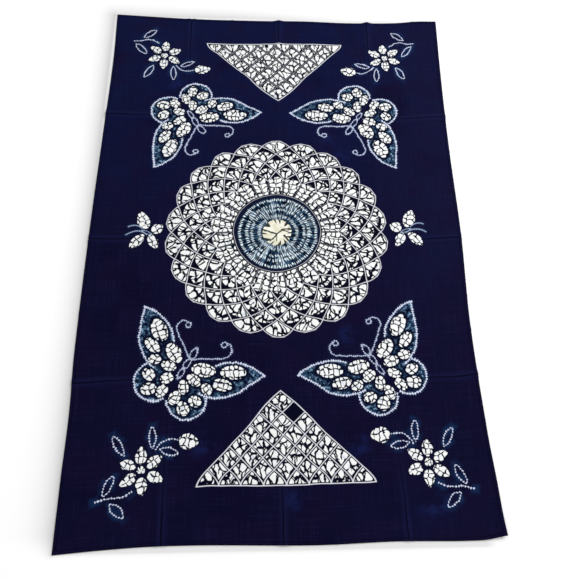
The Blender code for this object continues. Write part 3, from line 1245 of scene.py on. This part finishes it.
NEAR_SPRAY = {
    "petal": (0.0385, 0.0, 0.0228, 0.0148, 0),
    "bud": (0.1175, -0.0695, 0.0265, 0.0215, 5),
    "bud stem": ((0.073, -0.033), 0.0430, -158, -65),
    "stem": ((-0.112, 0.067), (-0.080, 0.059), (-0.052, 0.061), (-0.035, 0.058), (-0.020, 0.049)),
    "leaves": (
        (0.068, -0.046, 0.0245, 0.0090, 12),
        (0.025, -0.083, 0.0275, 0.0085, 89),
        (-0.061, -0.067, 0.0285, 0.0092, 57),
        (-0.080, 0.030, 0.0265, 0.0095, -63),
        (-0.055, 0.091, 0.0255, 0.0100, 43),
    ),
}


def spray_cotton(name, spray, pitch, gap):
    """Flower sprays in two corners: a bound flower and bud, and stitched leaves and stems."""
    material, tree, place, ground = new_cotton(name)
    point = wavering(map_of(tree, "motif"), place, 1.8 * MM, 20.0)
    x, y = parts(point)
    turn = maths("ARCTAN2", y, x) * (FLOWER_PETALS / math.tau) - FLOWER_TURN * FLOWER_PETALS / 360
    petal_number = maths("ROUND", turn)
    folded = (turn - petal_number) * (math.tau / FLOWER_PETALS)
    radius = vector_maths("LENGTH", point)
    petal_point = joined(radius * maths("COSINE", folded), radius * maths("SINE", folded))
    petal = nearest_oval(petal_point, (spray["petal"],))
    others = nearest_oval(point, (FLOWER_EYE, spray["bud"]))
    use_other = maths("LESS_THAN", others[4], petal[4])
    along, across, half_length, half_width = (chosen(use_other, a, b) for a, b in zip(petal[:4], others[:4]))
    bound = placed(
        tree, PETAL, Along=along, Across=across, Half_Length=half_length, Half_Width=half_width,
        Place=place, Pebble=14.5 * MM, Shift=petal_number * 0.21, Taper=0.38 - use_other * 0.10,
    )
    drawn = wavering(point, place, 1.1 * MM, 120.0, 0.0)
    leaf_along, leaf_across, leaf_length, leaf_width, reach = nearest_oval(drawn, spray["leaves"])
    share = leaf_along / leaf_length
    open_share = maths("POWER", most(1.0 - share * share, 0.0), 0.8)
    leaf_line = most(size_of(size_of(leaf_across) - leaf_width * open_share), size_of(leaf_along) - leaf_length)
    stem = spray["stem"]
    line_across, line_along = nearest_line(
        (leaf_line, leaf_along * 1.08),
        *(straight(drawn, start, end) for start, end in zip(stem, stem[1:])),
        arc(drawn, *spray["bud stem"]),
    )
    line = placed(
        tree, STITCHES, Across=line_across, Along=line_along, Half_Width=2.0 * MM + gap * 0.3 * MM, Pitch=pitch, Gap=gap
    )
    seeped = fade(line_across, 17 * MM, 3 * MM) * fade(mottle(place, 24.0, 2.0), 0.40, 0.60)
    haloed = tinted(seeped * 0.52, ground, tone(24, 52, 92))
    lined = tinted(Field(line.outputs["Line"]) * 0.94, haloed, tone(208, 216, 240))
    rimmed = tinted(Field(bound.outputs["Inside"]) * 0.8, lined, tone(16, 20, 40))
    patched = tinted(Field(bound.outputs["White"]), rimmed, whites(place))
    finish_cotton(tree, place, patched)
    return material


def plain_cotton():
    """The plain indigo cloth between the motifs."""
    material, tree, place, ground = new_cotton("plain indigo cotton")
    finish_cotton(tree, place, ground)
    return material


def add_camera(middle):
    """The camera at the photograph's viewing angle."""
    data = bpy.data.cameras.new("camera")
    data.lens = CAMERA_LENS
    data.sensor_width = CAMERA_SENSOR
    data.sensor_fit = "HORIZONTAL"
    data.clip_end = 50.0
    camera = bpy.data.objects.new("camera", data)
    camera.location = Vector(CAMERA_PLACE) - Vector((*middle, 0.0))
    camera.rotation_euler = Euler([math.radians(angle) for angle in CAMERA_TURN])
    bpy.context.scene.collection.objects.link(camera)
    bpy.context.scene.camera = camera


def floor_paint():
    """Pale matt floor. Beside the sheet's left, near and far edges it has a painted shade that stands in for the soft
    shadow of the sheet, and it is painted paler towards the left, where the big light is weaker.
    """
    material = bpy.data.materials.new("pale floor")
    material.use_nodes = True
    tree = material.node_tree
    place = tree.nodes.new("ShaderNodeNewGeometry").outputs["Position"]
    x, y = parts(place)
    out_x = most(size_of(x) - 0.5545, 0.0)
    out_y = most(size_of(y) - 0.8510, 0.0)
    out = maths("SQRT", out_x * out_x + out_y * out_y)
    is_left = fade(x, -0.545, -0.556) * fade(y, -0.875, -0.80)
    is_far = fade(y, 0.845, 0.852)
    reach = chosen(is_left, chosen(is_far, 4 * MM, 38 * MM), 32 * MM)
    depth = chosen(is_left, chosen(is_far, 0.22, fade(x, 0.4, -0.3) * 0.21 + 0.14), 0.41) * fade(x, 0.53, 0.49)
    # Painted shade: the floor's colour darkens towards the sheet's left, near and far edges and stands in for the
    # sheet's shadow. There is none on the right.
    shade = maths("EXPONENT", out / reach * -1.0) * depth
    grain = (mottle(place, 45.0, 3.0) - 0.5) * 0.012
    # Painted light: the floor is painted up to 0.075 paler towards the left, which evens out the big light's fall-off
    # there.
    level = (1.0 - shade) * (grain + fade(x, 0.40, -0.65) * 0.075 + 0.90)
    shader = tree.nodes["Principled BSDF"]
    plug(tree, shader.inputs["Base Color"], joined(level, level, level))
    shader.inputs["Roughness"].default_value = 0.9
    shader.inputs["Specular IOR Level"].default_value = 0.1
    return material


def add_floor():
    """The pale floor."""
    mesh = bpy.data.meshes.new("floor")
    reach = 6.0
    mesh.from_pydata(
        [(-reach, -reach, 0.0), (reach, -reach, 0.0), (reach, reach, 0.0), (-reach, reach, 0.0)], [], [(0, 1, 2, 3)]
    )
    floor = bpy.data.objects.new("floor", mesh)
    floor.location.z = -0.4 * MM
    bpy.context.scene.collection.objects.link(floor)
    mesh.materials.append(floor_paint())


def add_light(name, place, aim, size, power):
    """A square soft light."""
    data = bpy.data.lights.new(name, "AREA")
    data.size = size
    data.energy = power
    light = bpy.data.objects.new(name, data)
    light.location = place
    light.rotation_euler = (Vector(aim) - Vector(place)).to_track_quat("-Z", "Y").to_euler()
    bpy.context.scene.collection.objects.link(light)


def light_studio():
    """A white room and one big soft light from the right."""
    world = bpy.data.worlds.new("studio")
    world.use_nodes = True
    background = world.node_tree.nodes["Background"]
    background.inputs["Color"].default_value = (1.0, 1.0, 1.0, 1.0)
    background.inputs["Strength"].default_value = 0.80
    bpy.context.scene.world = world
    add_light("big soft light", (2.2, 1.0, 2.6), (0.0, 0.0, 0.0), 1.6, 70.0)
    bpy.context.scene.view_settings.view_transform = "Standard"


cottons = (
    plain_cotton(),
    rosette_cotton(),
    pennant_cotton(),
    butterfly_cotton(),
    small_butterfly_cotton(),
    spray_cotton("far spray cotton", FAR_SPRAY, 6.4 * MM, 0.10),
    spray_cotton("near spray cotton", NEAR_SPRAY, 7.4 * MM, 1.00),
)
cloth, layout = cloth_sheet(cottons)
add_camera(layout.middle)
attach(cloth, "root")
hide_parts("tablecloth")
add_floor()
light_studio()
